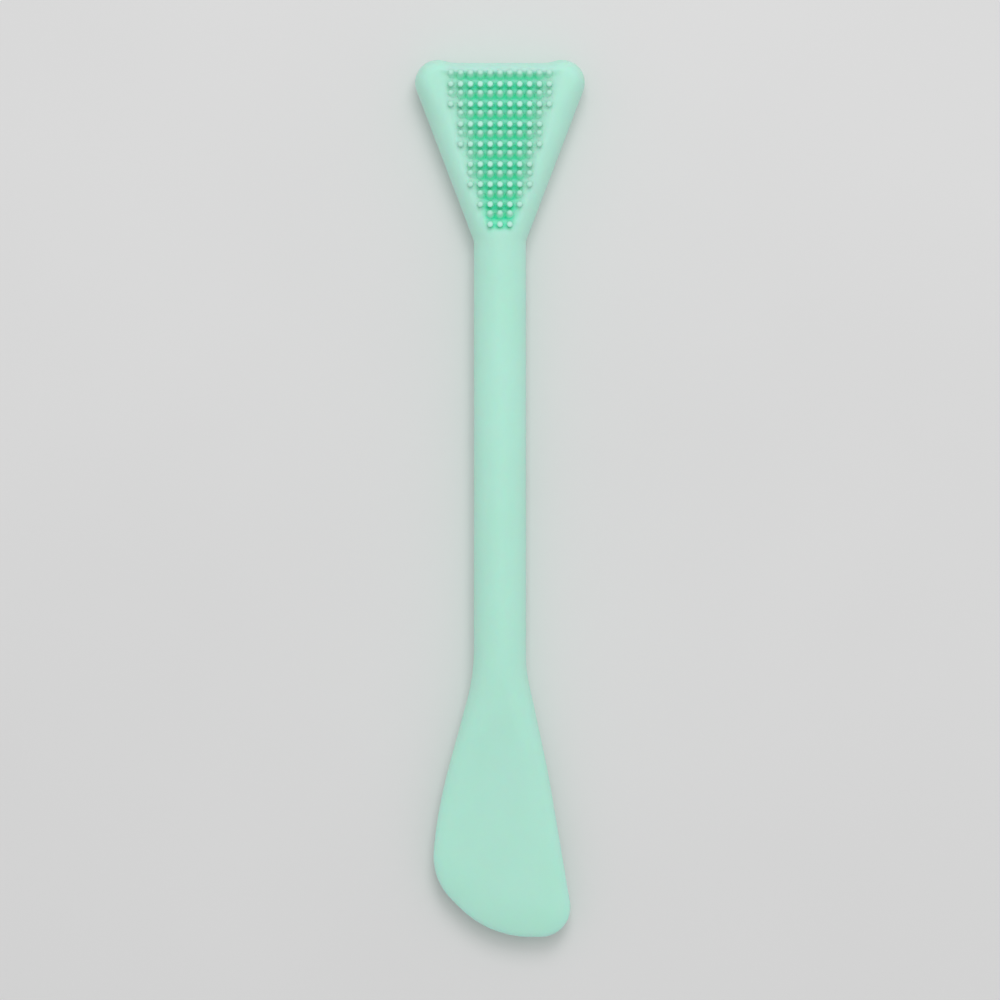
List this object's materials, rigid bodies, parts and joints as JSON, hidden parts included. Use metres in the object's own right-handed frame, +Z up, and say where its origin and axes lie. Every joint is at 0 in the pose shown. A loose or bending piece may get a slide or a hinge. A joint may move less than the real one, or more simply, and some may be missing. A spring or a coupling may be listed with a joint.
{
  "type": "facial cleansing brush with spatula",
  "caption": "Double-ended soft silicone face tool: a flared brush head with rows of fine nubs, a round handle and a flexible rounded spatula blade.",
  "frame": {"origin": "on the resting plane, below the handle axis, half-way along the tool", "axes": "+Y along the handle towards the brush head, +Z up out of the bristles, +X to the right seen from the bristle side with the head at the top"},
  "size_m": [0.0328, 0.17, 0.0111],
  "materials": {
    "silicone": "soft matt",
    "core": "moulded"
  },
  "bodies": {
    "handle": {"core": "core", "brush_head": "silicone", "short_bristles": "silicone", "long_bristles": "silicone", "handle_sleeve": "silicone"},
    "blade": {"spatula_blade": "silicone"}
  },
  "joints": [
    {"name": "blade_flex", "type": "hinge", "parent": "handle", "child": "blade", "pos_m": [0, -0.048, 0.00505], "axis": [1, 0, 0], "range_deg": [-40, 40], "stiffness_Nm_per_rad": 0.03}
  ]
}
